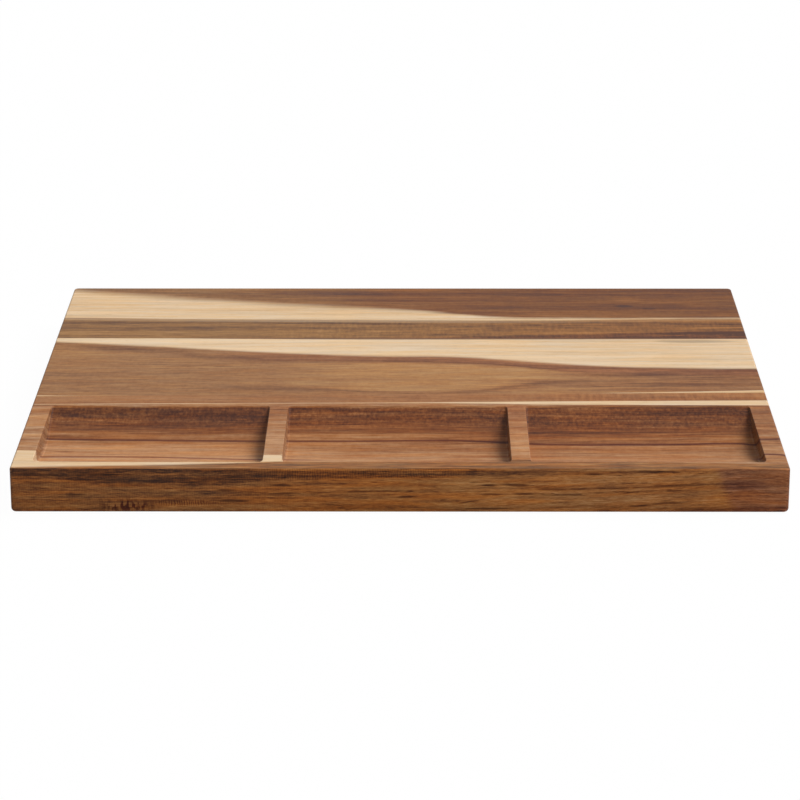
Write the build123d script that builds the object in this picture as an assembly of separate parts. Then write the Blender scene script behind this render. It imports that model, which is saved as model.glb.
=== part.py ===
from build123d import *
import os
from itertools import accumulate

# Panel of edge-glued hardwood, lying flat, in millimetres
board_length = 500.0
board_width = 400.0
board_thickness = 30.0

# Rounding of the outer edges
corner_round = 3.5
top_edge_round = 1.5
bottom_edge_round = 2.5

# Widths of the tapered staves at the two ends of the board, the back stave takes what is left
front_stave_left = 35.0
front_stave_right = 8.5
compartment_stave_left = 92.5
compartment_stave_right = 127.5
narrow_stave_left = 16.5
narrow_stave_right = 16.5
broad_stave_left = 130.5
broad_stave_right = 121.5
second_stave_left = 46.5
second_stave_right = 47.0

# Cured glue film between two staves
glue_thickness = 0.2

# Row of three compartments scooped into the top along the front edge, the last takes what is left
left_rail = 13.5
right_rail = 14.0
front_rail = 13.0
divider = 12.5
first_compartment_length = 148.0
middle_compartment_length = 148.0
compartment_width = 111.0
compartment_depth = 12.0
compartment_end_round = 2.0
compartment_rim_round = 0.5

# How far cutting shapes run past the board
overrun = 20.0

# An edge round stays just under the round of the upright corner that it runs along
corner_share = 0.99

left_end = -board_length / 2
right_end = board_length / 2
front_edge = -board_width / 2


def rounded_panel():
    """Plain board with rounded upright corners, then rounded top and bottom edges."""
    on_the_table = (Align.CENTER, Align.CENTER, Align.MIN)
    panel = Box(board_length, board_width, board_thickness, align=on_the_table)
    panel = fillet(panel.edges().filter_by(Axis.Z), corner_round)
    largest_round = corner_share * corner_round
    top_face = panel.faces().sort_by(Axis.Z)[-1]
    panel = fillet(top_face.edges(), min(top_edge_round, largest_round))
    bottom_face = panel.faces().sort_by(Axis.Z)[0]
    return fillet(bottom_face.edges(), min(bottom_edge_round, largest_round))


def compartment_cut(length):
    """Lying drum that scoops one compartment: its low part leaves the curved floor and its flat ends
    leave upright end walls, with the corner between them rounded."""
    half_width = compartment_width / 2
    drum_radius = (half_width**2 + compartment_depth**2) / (2 * compartment_depth)
    drum = Rot(0, -90, 0) * Cylinder(drum_radius, length)
    drum = fillet(drum.edges().filter_by(GeomType.CIRCLE), compartment_end_round)
    return Pos(length / 2, half_width, drum_radius) * drum


def milled_board():
    """The panel with its three compartments cut and their rims eased."""
    solid_lengths = left_rail + right_rail + 2 * divider
    open_length = board_length - solid_lengths
    last_compartment_length = open_length - first_compartment_length - middle_compartment_length
    lengths = [first_compartment_length, middle_compartment_length, last_compartment_length]
    board = rounded_panel()
    start = left_end + left_rail
    for length in lengths:
        corner = Pos(start, front_edge + front_rail, board_thickness - compartment_depth)
        board = board - corner * compartment_cut(length)
        start = start + length + divider
    top_face = board.faces().sort_by(Axis.Z)[-1]
    rims = [edge for wire in top_face.inner_wires() for edge in wire.edges()]
    return fillet(rims, compartment_rim_round)


def strip(front_line, back_line):
    """Upright slice of space between two straight lines, each given by its distance from the front
    edge at the left and right ends of the board and carried on past both ends."""

    def point(line, x):
        along = (x - left_end) / board_length
        return (x, front_edge + line[0] + along * (line[1] - line[0]))

    past_left = left_end - overrun
    past_right = right_end + overrun
    corners = [
        point(front_line, past_left),
        point(front_line, past_right),
        point(back_line, past_right),
        point(back_line, past_left),
    ]
    outline = make_face(Polyline(*corners, close=True))
    return Pos(0, 0, -overrun) * extrude(outline, board_thickness + 2 * overrun)


def shifted(line, distance):
    """The same line, moved towards the back."""
    return (line[0] + distance, line[1] + distance)


# Staves from front to back with their widths at the left and right ends
stave_widths = {
    "front_stave": (front_stave_left, front_stave_right),
    "compartment_stave": (compartment_stave_left, compartment_stave_right),
    "narrow_stave": (narrow_stave_left, narrow_stave_right),
    "broad_stave": (broad_stave_left, broad_stave_right),
    "second_stave": (second_stave_left, second_stave_right),
}
stave_names = [*stave_widths, "back_stave"]

# Glue lines from front to back, as distances from the front edge at the left and right ends
left_joints = accumulate(left for left, right in stave_widths.values())
right_joints = accumulate(right for left, right in stave_widths.values())
joints = list(zip(left_joints, right_joints))

# Each stave lies between its two glue films, and the outer two run past the board's edges
before_front = (-overrun, -overrun)
behind_back = (board_width + overrun, board_width + overrun)
half_glue = glue_thickness / 2
stave_fronts = [before_front] + [shifted(joint, half_glue) for joint in joints]
stave_backs = [shifted(joint, -half_glue) for joint in joints] + [behind_back]

board = milled_board()
pieces = {}
for name, front_line, back_line in zip(stave_names, stave_fronts, stave_backs):
    pieces[name] = board & strip(front_line, back_line)
for number, joint in enumerate(joints, start=1):
    film = strip(shifted(joint, -half_glue), shifted(joint, half_glue))
    pieces[f"glue_line_{number}"] = board & film

os.makedirs("parts", exist_ok=True)
for name, piece in pieces.items():
    export_step(piece, f"parts/{name}.step")
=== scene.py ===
from math import radians

import bpy
from mathutils import Euler, Matrix, Vector

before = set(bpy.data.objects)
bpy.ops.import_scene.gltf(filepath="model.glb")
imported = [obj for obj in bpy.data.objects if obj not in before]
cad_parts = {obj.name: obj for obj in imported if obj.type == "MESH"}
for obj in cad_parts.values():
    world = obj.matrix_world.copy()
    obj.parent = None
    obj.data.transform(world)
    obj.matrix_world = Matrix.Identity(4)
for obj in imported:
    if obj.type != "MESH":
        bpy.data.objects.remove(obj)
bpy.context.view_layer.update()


# Back stave: the first piece of the lay-up, with the board's back edge. Acacia, cream sapwood in front and
# at the left and dark red-brown heartwood behind, with a sliver of brown at the front left where the joint
# bows. Sawn, planed, edge-glued and rubbed with oil.
class Value:
    """A number, colour or vector that changes over a surface. Arithmetic on it adds Math nodes."""

    def __init__(self, tree, socket=None):
        self.tree = tree
        self.socket = socket

    def node(self, kind, settings, inputs, output=0):
        """Adds a node: first its settings, with a ramp's stops or a curve's points, then its sockets."""
        node = self.tree.nodes.new(kind)
        for name, setting in settings.items():
            if name == "stops":
                ramp = node.color_ramp.elements
                for element, stop in zip((ramp[0], ramp[1]), (setting[0], setting[-1])):
                    element.position = stop[0]
                    element.color = (*stop[1], 1)
                for position, colour in setting[1:-1]:
                    ramp.new(position).color = (*colour, 1)
            elif name == "points":
                curve = node.mapping.curves[0].points
                curve[0].location = setting[0]
                curve[1].location = setting[-1]
                for point in setting[1:-1]:
                    curve.new(*point)
                node.mapping.update()
            else:
                setattr(node, name, setting)
        for name, value in inputs.items():
            if isinstance(value, Value):
                self.tree.links.new(value.socket, node.inputs[name])
            else:
                node.inputs[name].default_value = value
        return Value(self.tree, node.outputs[output]) if node.outputs else None

    def math(self, operation, first, second=0.0):
        return self.node("ShaderNodeMath", {"operation": operation}, {0: first, 1: second})

    def __add__(self, other):
        return self.math("ADD", self, other)

    def __radd__(self, other):
        return self.math("ADD", other, self)

    def __sub__(self, other):
        return self.math("SUBTRACT", self, other)

    def __rsub__(self, other):
        return self.math("SUBTRACT", other, self)

    def __mul__(self, other):
        return self.math("MULTIPLY", self, other)

    def __rmul__(self, other):
        return self.math("MULTIPLY", other, self)

    def __truediv__(self, other):
        return self.math("DIVIDE", self, other)

    def __abs__(self):
        return self.math("ABSOLUTE", self)


def new_material(name):
    """Empty material, and a value to start its nodes from."""
    material = bpy.data.materials.new(name)
    material.use_nodes = True
    material.node_tree.nodes.clear()
    return material, Value(material.node_tree)


def rise(value, start, end):
    """0 up to start, 1 from end on, with a smooth slope between the two."""
    inputs = {"Value": value, "From Min": start, "From Max": end}
    return value.node("ShaderNodeMapRange", {"interpolation_type": "SMOOTHSTEP"}, inputs)


def hump(value, middle, half_width):
    """1 where the value is at the middle, falling smoothly to 0 at half_width to either side."""
    return rise(abs(value - middle), half_width, 0)


def graph(value, *points):
    """Smooth curve through points, each an input and its result, held level past the first and last."""
    first, last = points[0][0], points[-1][0]
    low = min(result for place, result in points)
    span = max(result for place, result in points) - low
    scaled = [((place - first) / (last - first), (result - low) / span) for place, result in points]
    inputs = {"Value": value, "From Min": first, "From Max": last}
    place = value.node("ShaderNodeMapRange", {}, inputs)
    return span * value.node("ShaderNodeFloatCurve", {"points": scaled}, {"Value": place}) + low


def ramp(value, *stops):
    """Colours set out along a value."""
    return value.node("ShaderNodeValToRGB", {"stops": stops}, {0: value})


def lay(under, over, amount, way="MIX"):
    """One colour laid over another by an amount from 0 to 1."""
    settings = {"data_type": "RGBA", "blend_type": way}
    return under.node("ShaderNodeMix", settings, {0: amount, 6: under, 7: over}, 2)


def tint(colour, *tints):
    """A colour multiplied by tints one after another, each a colour and its amount from 0 to 1."""
    for over, amount in tints:
        colour = lay(colour, over, amount, "MULTIPLY")
    return colour


board_length = 500
board_width = 400
thickness = 30
millimetres = 1000


class Stave:
    """Wood of one stave, with the place on it in millimetres: along the board from its middle, back from
    its front edge, depth below its top, and rings, which equals back on the top and follows the growth
    rings down through the wood: it falls by lean times the depth and by bow times the depth squared.
    The grain sways a little about the rings."""

    def __init__(self, name, lean, bow, seed):
        self.name = name
        self.seed = seed
        self.material, self.start = new_material(name + "_wood")
        x, y, z = self.axes("Object")
        self.facing_right, self.facing_back, self.facing_up = self.axes("Normal")
        self.along = millimetres * x
        self.back = millimetres * y + board_width / 2
        self.depth = thickness - millimetres * z
        self.rings = self.back - self.depth * (lean + bow * self.depth)
        sway = 3
        self.grain = self.rings
        self.grain = self.rings + 2 * sway * self.noise(140, 40, 40) - sway
        self.ragged = 1.2 * self.noise(45, 5, 12, 3.0) - 0.6

    def axes(self, kind):
        """The place on the piece, or the direction its surface faces, to the right, back and up."""
        vector = self.start.node("ShaderNodeTexCoord", {}, {}, kind)
        return (vector.node("ShaderNodeSeparateXYZ", {}, {0: vector}, axis) for axis in "XYZ")

    def noise(self, length, width, height, detail=2.0, roughness=0.55):
        """Noise from 0 to 1 in patches of about this length along the board, width across the growth
        rings and height through the wood. Every call takes another part of the noise."""
        self.seed = self.seed + 1
        place = {
            0: self.along / length + 3.7 * self.seed,
            1: self.grain / width - 5.3 * self.seed,
            2: self.depth / height,
        }
        vector = self.start.node("ShaderNodeCombineXYZ", {}, place)
        inputs = {"Vector": vector, "Scale": 1.0, "Detail": detail, "Roughness": roughness}
        return self.start.node("ShaderNodeTexNoise", {}, inputs)

    def joint(self, left, right):
        """A straight glue line, by its distance from the front edge at the board's left and right ends."""
        return (left + right) / 2 + (right - left) / board_length * self.along

    def front_rim_highlight(self):
        """1 on the eased rim in front of the compartments, which faces back just below the top, where the
        staves lighten the tone as a painted highlight.
        """
        return rise(self.depth, 1.8, 0.2) * rise(self.facing_back, 0.15, 0.35)

    def patch(self, along, rings, half_length, half_width, slope=0.0):
        """1 in the middle of a long soft patch of wood, falling to 0 at its ragged rim."""
        across = (self.along - along) / half_length
        up = (self.rings - rings - slope * (self.along - along)) / half_width
        return rise(across * across + up * up + self.ragged, 1, 0)

    def dapple(self, tone, *patches):
        """A tone with lighter and darker patches, each its step in tone, its middle along the board and
        across the rings, its half length and half width, and its slope where it has one."""
        for step, *place in patches:
            tone = tone + step * self.patch(*place)
        return tone

    def stroke(self, width, *points):
        """1 along a soft line through points, each along the board and across the rings, thinning out
        towards its ends."""
        first, last = points[0][0], points[-1][0]
        fade = (last - first) / 5
        ends = rise(self.along, first, first + fade) * rise(self.along, last, last - fade)
        return ends * hump(self.rings - graph(self.along, *points) + 0.6 * width * self.ragged, 0, width)

    def draw(self, tone, *lines):
        """A tone with lighter and darker lines, each its step in tone, its width and its points."""
        for step, width, *points in lines:
            tone = tone + step * self.stroke(width, *points)
        return tone

    def figure(self, bands, streaks, fibres, ripples):
        """Light and dark of heartwood, about 0: broad bands, streaks in ever finer steps, short fibres
        along the grain and ripples across it."""
        broad = self.noise(480, 24, 60)
        streak = self.noise(190, 9, 30, 4.0, 0.62)
        fibre = self.noise(22, 2.4, 3, 4.0, 0.8)
        ripple = self.noise(3.2, 7, 7, 3.0, 0.6)
        middle = 0.5 * (bands + streaks + fibres + ripples)
        return bands * broad + streaks * streak + fibres * fibre + ripples * ripple - middle

    def sapwood(self, paleness=0.0):
        """Cream sapwood with faint warm growth streaks."""
        streak = 1.3 * self.noise(240, 10, 30, 3.0, 0.6) + 0.8 * self.noise(22, 2.4, 4, 4.0, 0.8)
        streak = streak + paleness - 0.55
        return ramp(
            streak,
            (0.2, (0.57, 0.36, 0.185)),
            (0.5, (0.695, 0.487, 0.287)),
            (0.8, (0.78, 0.58, 0.375)),
        )

    def oil(self, colour, drift):
        """Satin oiled surface: the hue drifts between warm and cool by the given amount, end grain is a
        little darker and shows the growth rings as fine lines, and open pores run as fine short grooves
        along the grain."""
        warm = (1.08, 0.96, 0.76)
        cool = (0.92, 1.04, 1.26)
        end_shade = (0.79, 0.79, 0.82, 1)
        ring_shade = (0.78, 0.7, 0.66, 1)
        pore_shade = (0.6, 0.52, 0.47, 1)
        groove_depth = 0.0001
        hue = ramp(self.noise(60, 5, 9, 3.0, 0.6), (0.38, warm), (0.62, cool))
        end_face = rise(abs(self.facing_right), 0.25, 0.8)
        growth = rise(self.noise(900, 1.5, 90, 3.0, 0.7), 0.38, 0.62)
        pores = rise(self.noise(7, 0.6, 0.6), 0.6, 0.72)
        fibres = self.noise(24, 0.8, 0.8)
        colour = tint(
            colour,
            (hue, drift),
            (end_shade, end_face),
            (ring_shade, 0.8 * growth * end_face),
            (pore_shade, 0.5 * pores),
        )
        relief = {"Strength": 0.3, "Distance": groove_depth, "Height": fibres - 0.6 * pores}
        inputs = {
            "Base Color": colour,
            "Roughness": 0.15 * fibres + 0.12 * pores + 0.5,
            "Specular IOR Level": 0.12,
            "Normal": self.start.node("ShaderNodeBump", {}, relief),
        }
        shader = self.start.node("ShaderNodeBsdfPrincipled", {}, inputs)
        self.start.node("ShaderNodeOutputMaterial", {}, {"Surface": shader})
        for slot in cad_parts[self.name].material_slots:
            slot.material = self.material


wood = Stave("back_stave", lean=-0.7, bow=0, seed=90)
heart_edge = graph(
    wood.along,
    (-250, 391),
    (-211, 381.5),
    (-172, 372),
    (-95, 358),
    (-58, 352),
    (6, 342),
    (45, 332),
    (82, 324),
    (150, 323),
    (250, 323),
)
beyond = wood.rings - heart_edge + 6 * wood.ragged
to_left = rise(wood.along, -20, -210)
blurred = rise(wood.along, 60, -60)
cream = rise(beyond, 4 + 5 * blurred + 2 * to_left, -4 - 4 * blurred)
tone = 0.45 + wood.figure(bands=0.65, streaks=1.1, fibres=0.9, ripples=0.2)
tone = tone - 0.08 * hump(beyond, 12, 9) * to_left + 0.12 * to_left
tone = wood.dapple(
    tone,
    (-0.16, -45, 387, 75, 9, -0.08),
    (0.12, 0, 352, 60, 7, -0.12),
    (-0.32, 165, 353, 9, 4),
    (-0.16, 184, 347, 6, 2.5),
    (0.16, 170, 371, 15, 10),
    (0.13, 232, 356, 32, 6),
)
heart = ramp(
    tone,
    (0.1, (0.055, 0.018, 0.012)),
    (0.35, (0.125, 0.041, 0.014)),
    (0.5, (0.176, 0.063, 0.018)),
    (0.7, (0.25, 0.097, 0.029)),
    (0.95, (0.36, 0.17, 0.055)),
)
greyer = (1, 1.1, 1.3, 1)
paler = (1.15, 1.34, 1.55, 1)
warmer = (0.97, 0.96, 0.9, 1)
heart = tint(
    heart,
    (greyer, to_left),
    (paler, rise(wood.along, -10, -60)),
    (warmer, rise(wood.along, -20, 120)),
)
colour = lay(heart, wood.sapwood(), cream)
sliver = (0.36, 0.22, 0.12, 1)
sliver_edge = graph(wood.along, (-250, 324), (-214, 322.8), (-177, 321.3), (-140, 319.5))
wood.oil(lay(colour, sliver, rise(sliver_edge - wood.rings, -0.8, 0.8)), drift=0.4)


# Second stave: olive-brown heartwood rippled across the grain, a thin pale edge behind and a dark red edge
# in front that widens to the right. Planed and edge-glued in front of the back stave.
wood = Stave("second_stave", lean=-0.5, bow=0.01, seed=80)
pale_edge = graph(
    wood.along,
    (-250, 324),
    (-214, 322.5),
    (-177, 321),
    (-106, 319.6),
    (6, 318),
    (81, 317.4),
    (164, 320),
    (250, 324),
)
red_edge = graph(wood.along, (-250, 272), (0, 275.5), (71, 279), (144, 285), (250, 291))
past_edge = wood.rings - pale_edge
pale = rise(past_edge, -1.5, 1.5)
pale = pale + (0.3 - 0.13 * rise(wood.along, 10, 130)) * (1 - pale) * rise(past_edge, -8, -4)
red = rise(red_edge - wood.rings + 3 * wood.ragged, -3, 3) * rise(wood.along, -150, 100)
to_right = rise(wood.along, -60, 200)
rippled = rise(wood.along, -150, -40) * (wood.noise(2.6, 12, 12) - 0.5)
across = graph(
    wood.rings,
    (274, 0),
    (277, 0.1),
    (288, 0.12),
    (297, 0.03),
    (306, 0.03),
    (314, 0.12),
    (320, 0.15),
)
tone = 0.43 + wood.figure(bands=0.9, streaks=1.6, fibres=1.3, ripples=0.2) + across
tone = tone - 0.36 * red - 0.06 * to_right + 0.5 * rippled
tone = tone - 0.1 * hump(wood.rings, 281, 9) * rise(wood.along, 0, -120) + 0.04 * hump(wood.along, 0, 90)
tone = wood.dapple(
    tone,
    (-0.2, -215, 301, 110, 6),
    (-0.1, -120, 304, 90, 3),
    (0.32, 236, 300, 50, 3.4, 0.05),
    (-0.24, 225, 309, 50, 3.2, -0.02),
    (-0.26, 228, 288, 62, 3.5, 0.05),
    (0.1, 120, 296, 60, 4),
)
heart = ramp(
    tone,
    (0.1, (0.07, 0.03, 0.017)),
    (0.35, (0.16, 0.072, 0.028)),
    (0.5, (0.225, 0.102, 0.034)),
    (0.7, (0.3, 0.145, 0.046)),
    (0.95, (0.4, 0.2, 0.075)),
)
warmer = (0.98, 0.84, 0.68, 1)
greyer = (0.98, 1.03, 1.16, 1)
redder = (0.85, 0.66, 0.62, 1)
heart = tint(heart, (warmer, to_right), (greyer, rise(wood.along, 20, -140)), (redder, 0.7 * red))
wood.oil(lay(heart, wood.sapwood(), pale), drift=0.15)


# Broad stave: the widest piece, cream sapwood behind and brown heartwood in front, with a pointed oval of
# pale wood where the saw ran level with a growth ring. A grey stain and a dark line lie along its back
# edge and thin slivers of cream along its front edge. Planed and edge-glued.
wood = Stave("broad_stave", lean=0.6, bow=0.01, seed=60)
heart_edge = graph(
    wood.along,
    (-250, 266),
    (-177, 255),
    (-69, 238),
    (-20, 233),
    (35, 231.5),
    (70, 225),
    (105, 217),
    (140, 211),
    (175, 207),
    (250, 205),
)
upper_ring = graph(
    wood.along,
    (-120, 224),
    (-33, 222),
    (6, 221),
    (71, 213),
    (97, 206),
    (125, 197),
    (250, 190),
)
lower_ring = graph(
    wood.along,
    (-125, 163),
    (-66, 160),
    (6, 151),
    (34, 152),
    (77, 165),
    (121, 179),
    (250, 186),
)
cream = rise(heart_edge - wood.rings + 3 * wood.ragged, 3.5, -3)
red = rise(wood.rings - upper_ring, -4, 3) * rise(wood.along, -150, -80)
oval = rise(upper_ring - wood.rings, 0, 9) * rise(wood.rings - lower_ring, -1, 8)
oval = oval * rise(wood.along, -140, 0) * rise(wood.along, 135, 70)
to_right = rise(wood.along, 60, 150)
tone = 0.5 + wood.figure(bands=0.3, streaks=0.45 + to_right, fibres=0.9, ripples=0.2)
tone = tone + 0.15 * oval - 0.1 * to_right - 0.06 * red
lower_outline = (-150, 164), (-66, 160), (6, 151), (34, 152), (77, 165), (121, 178), (150, 182)
tone = wood.draw(
    tone,
    (-0.18, 6, (-125, 224), (-33, 222), (6, 221), (71, 214), (97, 206), (140, 196)),
    (-0.1, 3, (-60, 228), (6, 226.5), (60, 220), (100, 211), (150, 201)),
    (-0.16, 1.7, (-45, 222.5), (10, 220.5), (42, 217.5), (71, 213), (97, 205.5), (125, 199)),
    (-0.1, 5, *lower_outline),
)
tone = tone - 0.09 * wood.stroke(13, *lower_outline) * (1 - hump(wood.along, -15, 80))
tone = wood.dapple(tone, (0.06, -15, 159, 50, 5)) + 0.045 * hump(wood.along, 120, 65)
tone = wood.draw(tone, (-0.17, 12, (-240, 256), (-176, 243), (-140, 234), (-80, 221)))
tone = wood.dapple(
    tone,
    (0.12, -238, 243, 30, 5),
    (-0.07, -95, 198, 70, 16),
    (-0.1, 230, 192, 100, 18),
    (-0.13, 185, 170, 45, 4),
    (0.14, 165, 183, 50, 4),
    (0.12, 100, 186, 60, 5),
)
tone = wood.draw(tone, (0.1, 1.5, (-250, 206), (-180, 207), (-100, 206)))
heart = ramp(
    tone,
    (0.1, (0.1, 0.036, 0.017)),
    (0.35, (0.215, 0.088, 0.033)),
    (0.5, (0.3, 0.135, 0.052)),
    (0.7, (0.4, 0.198, 0.072)),
    (0.95, (0.5, 0.28, 0.12)),
)
redder = (1, 0.9, 0.95, 1)
greyer = (0.97, 1.02, 1.08, 1)
heart = tint(heart, (redder, red), (greyer, rise(wood.along, 0, -150)))
colour = lay(heart, wood.sapwood(paleness=0.15), cream)
grey_stain = (0.36, 0.27, 0.18, 1)
stained = 0.75 * wood.patch(212, 267, 34, 5) + 0.15 * rise(wood.noise(90, 5, 20, 3.0), 0.52, 0.68)
colour = lay(colour, grey_stain, stained * cream)
dark_line = (0.19, 0.095, 0.05, 1)
line_width = graph(
    wood.along,
    (-250, -0.5),
    (-180, 0.3),
    (-106, 1.8),
    (-22, 2.9),
    (61, 2.7),
    (157, 1.9),
    (250, 1.1),
)
colour = lay(colour, dark_line, rise(wood.rings - wood.joint(274.5, 274) + line_width, -0.7, 0.7))
strip = graph(wood.along, (-250, 1.5), (-190, 0), (100, -1), (130, 0), (250, 5))
in_strip = rise(wood.joint(144, 152.5) + strip - wood.back, -0.5, 0.5)
wood.oil(lay(colour, wood.sapwood(paleness=0.1), in_strip), drift=0.4)


# Narrow stave: a reddish strip of heartwood behind the compartments, rippled across the grain towards
# its right end. Planed on all sides and edge-glued between its neighbours.
wood = Stave("narrow_stave", lean=-0.5, bow=0, seed=50)
ripple = wood.noise(3, 20, 20, 3.0) - 0.5
to_right = rise(wood.along, 20, 160)
tone = 0.48 + wood.figure(bands=0.4, streaks=0.5, fibres=0.8, ripples=0.25) + 0.6 * ripple * to_right
tone = tone + 0.09 * to_right * rise(wood.rings, 139, 145)
heart = ramp(
    tone,
    (0.1, (0.12, 0.038, 0.015)),
    (0.35, (0.235, 0.093, 0.034)),
    (0.5, (0.31, 0.134, 0.051)),
    (0.7, (0.4, 0.186, 0.074)),
    (0.95, (0.5, 0.268, 0.108)),
)
warmer = (1.04, 0.97, 0.86, 1)
wood.oil(tint(heart, (warmer, to_right)), drift=0.5)


# Compartment stave: the piece that most of the three compartments are scooped from, with their dividers
# and end rails. Warm brown acacia with dark growth lines that lean back through the thickness, dark and
# torn at the back of the floors where the cutter left the wood, and a strip of cream sapwood behind.
wood = Stave("compartment_stave", lean=1.4, bow=0.036, seed=30)

# Cream strip along the back edge
behind_joint = wood.joint(127.5, 136)
strip = graph(
    wood.along,
    (-250, 0.8),
    (-190, 0.9),
    (-100, 0.7),
    (0, 1),
    (50, 3),
    (100, 6.3),
    (165, 8.4),
    (250, 10.6),
)
sag = graph(wood.along, (-150, 0), (-40, 1.6), (50, 1.2), (130, 0))
cream = rise(wood.rings - behind_joint + strip + 0.4 * sag, -0.6, 0.6)
cream = cream * rise(behind_joint - sag - wood.rings, -1.2, 0)

# Two dark growth lines
first_line = graph(
    wood.along,
    (-250, 69),
    (-214, 66.5),
    (-178, 65.4),
    (-95, 63.7),
    (-26, 64),
    (30, 65.2),
    (52, 63.5),
    (71, 60.8),
    (111, 57.1),
    (150, 57.2),
    (188, 58.2),
    (225, 59.5),
    (236, 56.8),
    (250, 58.2),
)
second_line = graph(
    wood.along,
    (-250, 31),
    (-211, 33),
    (-127, 29.5),
    (-89, 27),
    (70, 25),
    (236, 28),
    (250, 25),
)
from_line = wood.rings - first_line

# Where the wood is scooped and where it is flat
rough = wood.noise(4, 6, 6, 3.0, 0.65) - 0.5
scooped = rise(wood.depth + 0.9 * rough, 0, 1.1) * rise(wood.facing_up, 0.4, 0.7)
flat = 1 - scooped
in_left = rise(wood.along, -60, -100)
left_floor = scooped * in_left
right_rail = rise(wood.along, 225, 238)
first_divider = hump(wood.along, -82, 20)
second_divider = hump(wood.along, 78, 20)

# Tone of the rails and dividers
rails = 0.68 - 0.1 * right_rail * rise(from_line, -2, 2) - 0.05 * rise(wood.rings, 85, 110)
rails = rails - 0.085 * right_rail
rails = rails - 0.22 * rise(wood.rings, 117, 121) * rise(wood.along, 90, 115) * (1 - right_rail)
rails = rails - 0.07 * hump(wood.rings, 124, 3.5) * rise(wood.along, 20, -40)
rails = rails + first_divider * graph(
    wood.rings,
    (20, -0.02),
    (45, 0.02),
    (58, 0.07),
    (69, -0.02),
    (76, -0.13),
    (83, -0.04),
    (100, -0.05),
    (112, -0.18),
    (123, 0),
)
rails = rails + second_divider * graph(
    wood.rings,
    (18, 0.06),
    (28, 0.12),
    (45, 0.18),
    (58, 0.06),
    (75, -0.02),
    (92, -0.1),
    (105, -0.15),
    (119, -0.2),
    (128, 0),
)

# Tone of the floors, which falls behind the first growth line, and their torn wood, with a painted
# highlight on the front rim and a painted sheen on the front of the floors
floors = graph(wood.along, (-250, 0.69), (-160, 0.675), (0, 0.615), (160, 0.575), (250, 0.57))
fall = graph(
    from_line,
    (-60, 0),
    (-3, 0),
    (3, 0.07),
    (8, 0.03),
    (12, 0.1),
    (20, 0.21),
    (39, 0.33),
    (51, 0.37),
    (60, 0.35),
)
deeper = graph(wood.along, (-250, 1.36), (-160, 1.36), (0, 1), (160, 0.87), (250, 0.85))
speckle = wood.noise(1.7, 5, 5) - 0.5
torn_and_sheen = (0.45 * rough + 0.45 * speckle) * rise(from_line, 14, 40)
torn_and_sheen = wood.dapple(
    torn_and_sheen,
    (-0.06, -115, 98, 60, 16),
    (0.1, -60, 106, 24, 14),
    (0.15, 122, 111, 44, 14),
    (0.09, -190, 109, 34, 5),
)
torn_and_sheen = torn_and_sheen - 0.09 * hump(wood.rings, 100.8, 6.5) * rise(wood.along, -90, -60)
torn_and_sheen = torn_and_sheen - 0.16 * rise(from_line, 51, 60) * rise(wood.along, 60, 100)
torn_and_sheen = torn_and_sheen + 0.11 * rise(from_line, 50, 56) * hump(wood.along, -5, 85)
torn_and_sheen = torn_and_sheen - 0.025 * hump(wood.along, 0, 90) * rise(from_line, 28, 42)
torn_and_sheen = torn_and_sheen + 0.05 * hump(wood.along, 160, 90) * hump(from_line, 18, 16)
torn_and_sheen = torn_and_sheen + in_left * graph(
    from_line,
    (-40, 0.03),
    (-16, 0.03),
    (-9, -0.06),
    (0, -0.05),
    (14, -0.07),
    (22, 0),
)
# Painted highlight on the eased front rim, and painted sheen where the floors rise towards it
torn_and_sheen = torn_and_sheen + 0.12 * wood.front_rim_highlight() + 0.09 * rise(from_line, -20, -36)

# Both together, then their colours
streaky = 0.95 - 0.45 * left_floor * rise(from_line, 6, 14)
tone = wood.figure(bands=0.2, streaks=streaky, fibres=0.8, ripples=0.2) + rails
tone = tone + scooped * (floors - deeper * fall + torn_and_sheen - rails)
tone = tone + flat * (0.5 * wood.noise(18, 3.2, 5, 3.0, 0.65) - 0.25)
tone = tone - 0.12 * scooped * wood.stroke(4, (60, 80), (125, 79.5), (189, 80.9), (250, 81))
tone = tone - 0.07 * scooped * wood.patch(-22, 43, 30, 10) - 0.3 * scooped * wood.patch(-222, 43, 9, 1.5)
heart = ramp(
    tone,
    (0.05, (0.055, 0.017, 0.009)),
    (0.25, (0.135, 0.041, 0.014)),
    (0.42, (0.235, 0.08, 0.025)),
    (0.58, (0.335, 0.137, 0.048)),
    (0.75, (0.425, 0.207, 0.09)),
    (0.95, (0.53, 0.29, 0.14)),
)
flat_tint = (0.99, 1.06, 1.17, 1)
second_divider_tint = (1.02, 0.94, 0.88, 1)
second_divider_front_tint = (1.03, 0.97, 0.86, 1)
first_divider_tint = (0.98, 0.94, 0.92, 1)
left_back_tint = (1, 1.05, 1.14, 1)
left_corner_tint = (1, 1.08, 1.1, 1)
left_front_tint = (1, 0.96, 0.93, 1)
first_line_tint = (0.2, 0.05, 0.08, 1)
second_line_tint = (0.25, 0.1, 0.14, 1)
shown = scooped + right_rail - scooped * right_rail
in_first_line = hump(from_line + 1.6 * wood.ragged, 0, 3.4) * shown
in_second_line = hump(wood.rings - second_line, 0, 3)
in_second_line = in_second_line * (0.8 * scooped * rise(wood.along, -20, -90) + right_rail)
heart = tint(
    heart,
    (flat_tint, flat),
    (second_divider_tint, second_divider * flat),
    (second_divider_front_tint, second_divider * flat * rise(wood.rings, 85, 60)),
    (first_divider_tint, first_divider * flat),
    (left_back_tint, left_floor * rise(from_line, 4, 14)),
    (left_corner_tint, left_floor * rise(wood.along, -130, -190) * rise(from_line, 30, 50)),
    (left_front_tint, left_floor * rise(from_line, -2, -10)),
    (first_line_tint, 0.92 * in_first_line),
    (second_line_tint, in_second_line),
)
wood.oil(lay(heart, wood.sapwood(paleness=0.14), cream), drift=0.75 - 0.5 * cream)


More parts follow.
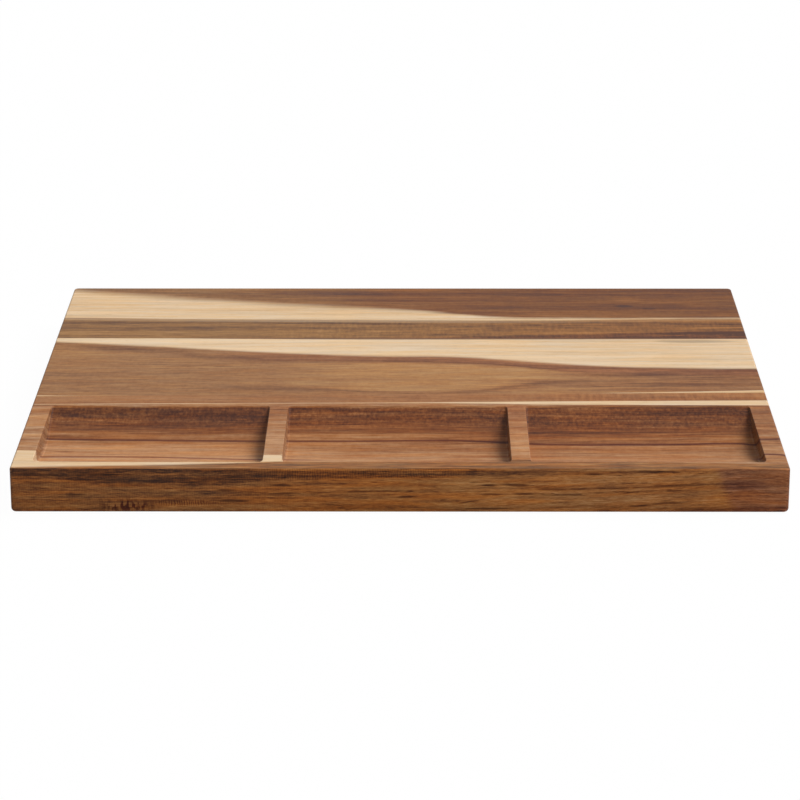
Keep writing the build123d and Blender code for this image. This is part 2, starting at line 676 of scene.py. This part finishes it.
# Front stave: the tapered last piece, with the front rail and the front of the compartments. Orange-brown
# heartwood with black flecks and a wedge of cream sapwood at its left end, planed, edge-glued and scooped
# together with the stave behind it. On the front face rings are simply minus the depth.
def larger(first, second):
    """The larger of two values at each place."""
    return first.math("MAXIMUM", first, second)


wood = Stave("front_stave", lean=1.0, bow=0, seed=10)
wood.grain = 0.3 * wood.grain + 0.7 * wood.rings + graph(wood.along, (40, 0), (140, -3), (215, -8))
heart_edge = graph(
    wood.along,
    (-250, 2.8),
    (-215, 4.4),
    (-177, 6.2),
    (-144, 7.8),
    (-110, 10.2),
    (-83, 12.8),
    (-40, 17.5),
    (0, 25),
    (250, 80),
)
face = rise(wood.facing_back, -0.2, -0.6)
cream = rise(wood.rings - heart_edge + 1.5 * wood.ragged, -1.8, 2.2) * (1 - face)

# Dark band along the top of the front face, combed by the saw
band_edge = graph(
    wood.along,
    (-250, 5),
    (-215, 7),
    (-185, 11),
    (-123, 11.5),
    (-85, 8.5),
    (0, 6.7),
    (40, 5.2),
    (75, 4),
    (130, 4),
    (190, 3),
    (250, 0),
)
dark_band = rise(band_edge - wood.depth + 3 * wood.ragged, -1, 1.5)
band_depth = graph(
    wood.along,
    (-250, 0.22),
    (-130, 0.25),
    (-60, 0.33),
    (40, 0.33),
    (110, 0.24),
    (250, 0.12),
)
comb = wood.along.math("SINE", 3.9 * wood.along + 16 * wood.noise(7, 10, 10))
combed = 0.03 * rise(wood.along, -20, -100)
combed = combed + 0.07 * dark_band * rise(wood.along, -110, -60) * rise(wood.along, 60, 20)

# Tone of the front rail and rim, with a painted highlight on the rim's eased back edge
rim = graph(
    wood.along,
    (-250, 0.5),
    (-60, 0.51),
    (20, 0.51),
    (60, 0.46),
    (110, 0.52),
    (190, 0.53),
    (230, 0.6),
)
# Painted highlight on the eased rim that faces back into the compartments
rim = rim + 0.12 * wood.front_rim_highlight()
rim = rim + 1.2 * wood.noise(32, 3, 6, 3.0, 0.65) - 0.6

# Tone of the front face, with its light or dark upper arris
plain = graph(wood.along, (-250, 0.47), (-120, 0.49), (-40, 0.61), (100, 0.62), (200, 0.61), (250, 0.62))
plain = plain - band_depth * dark_band + combed * comb + 1.1 * wood.noise(6, 0.9, 1.1, 3.0, 0.75) - 0.55
plain = plain + wood.noise(90, 1.3, 1.6, 4.0, 0.7) - 0.5
arris = graph(
    wood.along,
    (-250, -0.3),
    (-170, -0.27),
    (-110, 0),
    (-40, 0.28),
    (60, 0.34),
    (170, 0.2),
    (250, 0.08),
)
plain = plain + arris * rise(wood.depth, 1.7, 0.9)
plain = wood.dapple(plain, (-0.12, -188, -25, 44, 4))
plain = wood.draw(plain, (0.22, 1.2, (-275, -5.6), (-215, -5.5), (-175, -4.6), (-120, -3.4)))
tone = wood.figure(bands=0.4, streaks=0.9, fibres=1.0, ripples=0.1) + rim + face * (plain - rim)
heart = ramp(
    tone,
    (0.05, (0.035, 0.013, 0.007)),
    (0.25, (0.11, 0.037, 0.012)),
    (0.42, (0.2, 0.069, 0.018)),
    (0.58, (0.29, 0.104, 0.026)),
    (0.75, (0.38, 0.147, 0.037)),
    (0.95, (0.47, 0.21, 0.066)),
)

# Black dashes on the front face, first scattered ones, then broken lines, then single ones
dashes = rise(wood.noise(18, 1.3, 20) + 0.2 * wood.noise(3, 0.8, 0.8), 0.74, 0.84)
broken = 0.35 + 0.65 * rise(wood.noise(10, 3, 3), 0.38, 0.58)
for width, *points in (
    (0.9, (-110, -18.5), (-87, -17.4), (-66, -16.7), (-44, -16.2), (-23, -15.4), (9, -15), (35, -14.6)),
    (1.3, (66, -12), (101, -13.8), (123, -13.4), (155, -12.6), (176, -11.5), (214, -9.8)),
    (1.3, (70, -16.6), (107, -17.6), (128, -16.6), (144, -16.2), (165, -15), (200, -14)),
    (1.2, (116, -25.2), (129, -25.5), (144, -25.7), (165, -23.7), (181, -22.5), (194, -21)),
    (0.9, (-250, -4), (-220, -4.4), (-190, -4), (-160, -4.6)),
    (0.8, (-222, -7.4), (-195, -7.6), (-168, -7.4)),
):
    dashes = larger(dashes, broken * wood.stroke(width, *points))
for dash in (
    (-208, -17.7, 9, 0.8),
    (-112, -14.6, 9, 1.1),
    (-107, -21.9, 13, 1.5),
    (-75, -16.8, 13, 1.1, 0.03),
    (-76, -11, 8, 1),
    (4, -19, 8, 1.1, 0.05),
    (-39, -25, 12, 0.6, -0.09),
    (55, -27, 21, 0.7, 0.01),
    (44, -22.5, 9, 0.7, 0.17),
    (57, -17.2, 11, 0.7),
    (80, -17, 9, 1),
    (57, -11, 7, 1),
    (75, -11, 12, 1.4, -0.05),
    (124, -3.5, 9, 1),
    (165, -1.8, 19, 0.9, 0.02),
    (180, -11.2, 24, 1.4, 0.03),
):
    dashes = larger(dashes, wood.patch(*dash))

# Blots and saw teeth near the lower left, the redder right end and its stain
blots = rise(wood.noise(2.6, 9, 9), 0.41, 0.55) * hump(wood.along, -175, 26) * hump(wood.depth, 25, 6.5)
teeth = 0.9 * rise(comb, -0.2, 0.8) * hump(wood.along, -140, 48) * hump(wood.depth, 23, 4)
red_end = rise(wood.along - 0.4 * wood.depth + 5 * wood.ragged, 199, 207) * face
stain = 0.6 * wood.patch(218, -11.5, 20, 4.5)
stain = stain + 0.7 * wood.stroke(2.6, (176, -29.5), (215, -27.8), (262, -26.5))
rail_tint = (0.97, 1.1, 1.36, 1)
middle_tint = (1, 0.97, 0.88, 1)
right_tint = (1.02, 1.05, 1.15, 1)
dash_tint = (0.2, 0.14, 0.13, 1)
blot_tint = (0.25, 0.12, 0.14, 1)
red_end_tint = (0.8, 0.76, 1.1, 1)
stain_tint = (0.4, 0.28, 0.36, 1)
heart = tint(
    heart,
    (rail_tint, 1 - face),
    (middle_tint, face * hump(wood.along, -10, 110)),
    (right_tint, face * hump(wood.along, 155, 90)),
    (dash_tint, 0.85 * dashes * face),
    (blot_tint, larger(1.6 * blots, teeth)),
    (red_end_tint, red_end),
    (stain_tint, stain * face),
)
wood.oil(lay(heart, wood.sapwood(paleness=0.14), cream), drift=1 - 0.75 * cream)


# Glue lines: thin films of cured wood glue that hold the staves together edge to edge. They are sanded
# flush with the wood and hardly show, only the one behind the broad stave is a dark hairline.
for number, darkness in enumerate((0, 0, 0, 0.5, 0), start=1):
    film = Stave(f"glue_line_{number}", lean=0, bow=0, seed=110 + 10 * number)
    colour = ramp(
        film.noise(12, 2, 2) - darkness,
        (0, (0.1, 0.045, 0.018)),
        (0.3, (0.24, 0.11, 0.04)),
        (0.7, (0.36, 0.18, 0.075)),
    )
    film.oil(colour, drift=0.0)


# Floor: a wide plain sheet that the board lies on, shown white with the board's soft shadow. It is cut out
# under the board, so that the underside shows from below.
reach = 6.0
half_hole_length = 0.246
half_hole_width = 0.196
drop = -0.0001
mesh = bpy.data.meshes.new("floor")
mesh.from_pydata(
    [
        (-reach, -reach, drop),
        (reach, -reach, drop),
        (reach, reach, drop),
        (-reach, reach, drop),
        (-half_hole_length, -half_hole_width, drop),
        (half_hole_length, -half_hole_width, drop),
        (half_hole_length, half_hole_width, drop),
        (-half_hole_length, half_hole_width, drop),
    ],
    [],
    [(0, 1, 5, 4), (1, 2, 6, 5), (2, 3, 7, 6), (3, 0, 4, 7)],
)
floor = bpy.data.objects.new("floor", mesh)
bpy.context.scene.collection.objects.link(floor)


def seen_white(start):
    """1 for rays from the camera, a reflection or a see-through piece, 0 for rays that carry light."""
    rays = ("Is Camera Ray", "Is Glossy Ray", "Is Transmission Ray")
    seen, mirrored, through = (start.node("ShaderNodeLightPath", {}, {}, ray) for ray in rays)
    return larger(larger(seen, mirrored), through)


white = (1, 1, 1, 1)
paper_white = (0.95, 0.95, 0.95, 1)
white_share = 0.98
material, start = new_material("white_sheet")
paper = start.node("ShaderNodeBsdfDiffuse", {}, {"Color": paper_white})
glow = start.node("ShaderNodeEmission", {}, {"Color": white, "Strength": 1.0})
shader = start.node("ShaderNodeMixShader", {}, {0: white_share * seen_white(start), 1: paper, 2: glow})
start.node("ShaderNodeOutputMaterial", {}, {"Surface": shader})
mesh.materials.append(material)


# Light: a broad soft lamp from the right and a little behind, a weaker one from the front, one from below
# that only reaches the underside, and an even dim room, white where the camera or a reflection sees it.
def soft_lamp(name, toward, strength, spread):
    """Distant lamp that shines from a direction, as wide as spread, in degrees."""
    lamp = bpy.data.lights.new(name, "SUN")
    lamp.energy = strength
    lamp.angle = radians(spread)
    holder = bpy.data.objects.new(name, lamp)
    holder.rotation_euler = Vector(toward).to_track_quat("Z", "Y").to_euler()
    bpy.context.scene.collection.objects.link(holder)


soft_lamp("key_lamp", toward=(0.85, 0.3, 1.0), strength=3.1, spread=35)
soft_lamp("front_lamp", toward=(0.3, -1.0, 0.9), strength=0.72, spread=60)
soft_lamp("under_lamp", toward=(0.3, -0.4, -1.0), strength=2.4, spread=60)
room_light = 0.12
world = bpy.data.worlds.new("white_room")
world.use_nodes = True
world.node_tree.nodes.clear()
start = Value(world.node_tree)
strength = (1 - room_light) * seen_white(start) + room_light
room = start.node("ShaderNodeBackground", {}, {"Color": white, "Strength": strength})
start.node("ShaderNodeOutputWorld", {}, {"Surface": room})
bpy.context.scene.world = world


# Camera: a long lens about two metres in front of the board and above it, turned as the photograph's was.
# The angles are in radians and the lens in millimetres.
pitch = 0.32957
yaw = -0.00605
roll = 0.00148
focal_length = 138.75
sensor_width = 36
camera_place = (0.01155, -2.0509, 0.7097)
lens = bpy.data.cameras.new("camera")
lens.lens = focal_length
lens.sensor_width = sensor_width
camera = bpy.data.objects.new("camera", lens)
camera.location = camera_place
turn = Euler((radians(90) - pitch, 0, -yaw)).to_matrix() @ Matrix.Rotation(-roll, 3, "Z")
camera.rotation_euler = turn.to_euler()
bpy.context.scene.collection.objects.link(camera)
bpy.context.scene.camera = camera
bpy.context.scene.view_settings.view_transform = "Standard"
